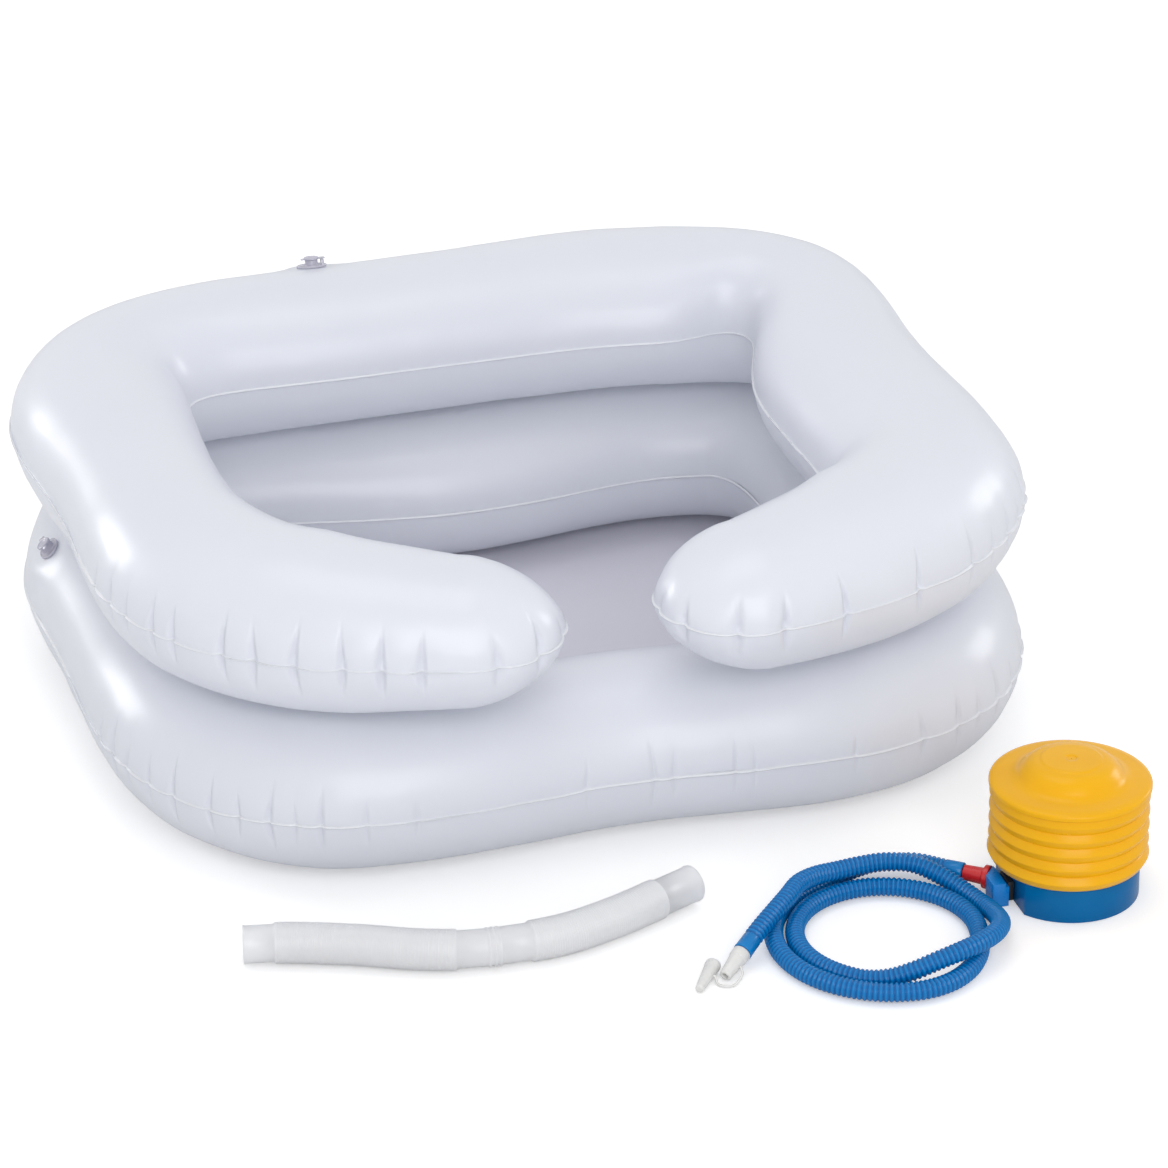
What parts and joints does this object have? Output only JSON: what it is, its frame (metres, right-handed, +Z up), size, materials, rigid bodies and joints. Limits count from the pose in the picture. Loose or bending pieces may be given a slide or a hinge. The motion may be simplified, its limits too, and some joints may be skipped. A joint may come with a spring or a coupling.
{
  "type": "portable shampoo basin",
  "caption": "Inflatable hair-washing basin with a neck gap in its raised rim, with its drain hose, and a foot pump with hose and nozzle.",
  "frame": {"origin": "on the ground, under the middle of the basin's floor sheet", "axes": "+X along the basin's length, to the side of the foot pump; +Y from the neck gap to the back; +Z up"},
  "size_m": [0.611, 0.739, 0.2022],
  "materials": {
    "pearl_film": "pearly satin film",
    "floor_film": "satin film",
    "clear_vinyl": "clear gloss",
    "flap_film": "soft film",
    "drain_plastic": "satin",
    "milky_hose": "translucent satin",
    "yellow_plastic": "gloss",
    "blue_plastic": "gloss",
    "bright_blue_plastic": "gloss",
    "black_rubber": "matt",
    "red_plastic": "gloss",
    "flap_rubber": "matt",
    "blue_hose": "gloss",
    "milky_plastic": "satin"
  },
  "bodies": {
    "kit": {"lower_chamber_top_sheet": "pearl_film", "lower_chamber_bottom_sheet": "pearl_film", "upper_chamber_top_sheet": "pearl_film", "upper_chamber_bottom_sheet": "pearl_film", "basin_floor_sheet": "floor_film", "upper_valve_stem": "clear_vinyl", "lower_valve_stem": "clear_vinyl", "drain_socket": "drain_plastic", "drain_hose": "milky_hose", "pump_base": "blue_plastic", "pump_bellows": "yellow_plastic", "pump_gasket": "black_rubber", "pump_outlet_block": "bright_blue_plastic", "hose_connector": "red_plastic", "pump_hose": "blue_hose", "pump_nozzle": "milky_plastic", "nozzle_cap": "milky_plastic", "cap_tether": "milky_plastic"},
    "treadle": {"pump_top_plate": "yellow_plastic"},
    "upper_plug": {"upper_valve_plug": "clear_vinyl"},
    "upper_flap": {"upper_valve_flap": "flap_film"},
    "lower_plug": {"lower_valve_plug": "clear_vinyl"},
    "lower_flap": {"lower_valve_flap": "flap_film"},
    "stopper": {"drain_stopper": "drain_plastic"},
    "outlet_flap": {"pump_outlet_flap": "flap_rubber"},
    "inlet_flap": {"pump_inlet_flap": "flap_rubber"}
  },
  "joints": [
    {"name": "pump_press", "type": "slide", "parent": "kit", "child": "treadle", "axis": [0, 0, -1], "range_m": [0, 0.03], "stiffness_N_per_m": 2500, "springref_m": -0.003, "deforming": ["pump_bellows"]},
    {"name": "upper_valve_open", "type": "hinge", "parent": "kit", "child": "upper_plug", "pos_m": [-0.06893, 0.23069, 0.19996], "axis": [0, 0.9761, -0.2173], "range_deg": [0, 150]},
    {"name": "upper_valve_check", "type": "hinge", "parent": "kit", "child": "upper_flap", "pos_m": [-0.07363, 0.22804, 0.18805], "axis": [0, -0.9761, 0.2173], "range_deg": [0, 60], "stiffness_Nm_per_rad": 0.0001},
    {"name": "lower_valve_open", "type": "hinge", "parent": "kit", "child": "lower_plug", "pos_m": [-0.28728, 0.09104, 0.08938], "axis": [-0.7513, 0, -0.6599], "range_deg": [0, 150]},
    {"name": "lower_valve_check", "type": "hinge", "parent": "kit", "child": "lower_flap", "pos_m": [-0.2793, 0.08602, 0.0803], "axis": [0.7513, 0, 0.6599], "range_deg": [0, 60], "stiffness_Nm_per_rad": 0.0001},
    {"name": "stopper_lift", "type": "slide", "parent": "kit", "child": "stopper", "axis": [0, 0, 1], "range_m": [0, 0.02]},
    {"name": "outlet_check", "type": "hinge", "parent": "kit", "child": "outlet_flap", "pos_m": [0.1904, -0.3625, 0.0111], "axis": [0, 1, 0], "range_deg": [0, 35], "stiffness_Nm_per_rad": 0.0001},
    {"name": "inlet_check", "type": "hinge", "parent": "kit", "child": "inlet_flap", "pos_m": [0.26911, -0.3618, 0.0128], "axis": [0, 1, 0], "range_deg": [0, 40], "stiffness_Nm_per_rad": 0.0001}
  ]
}
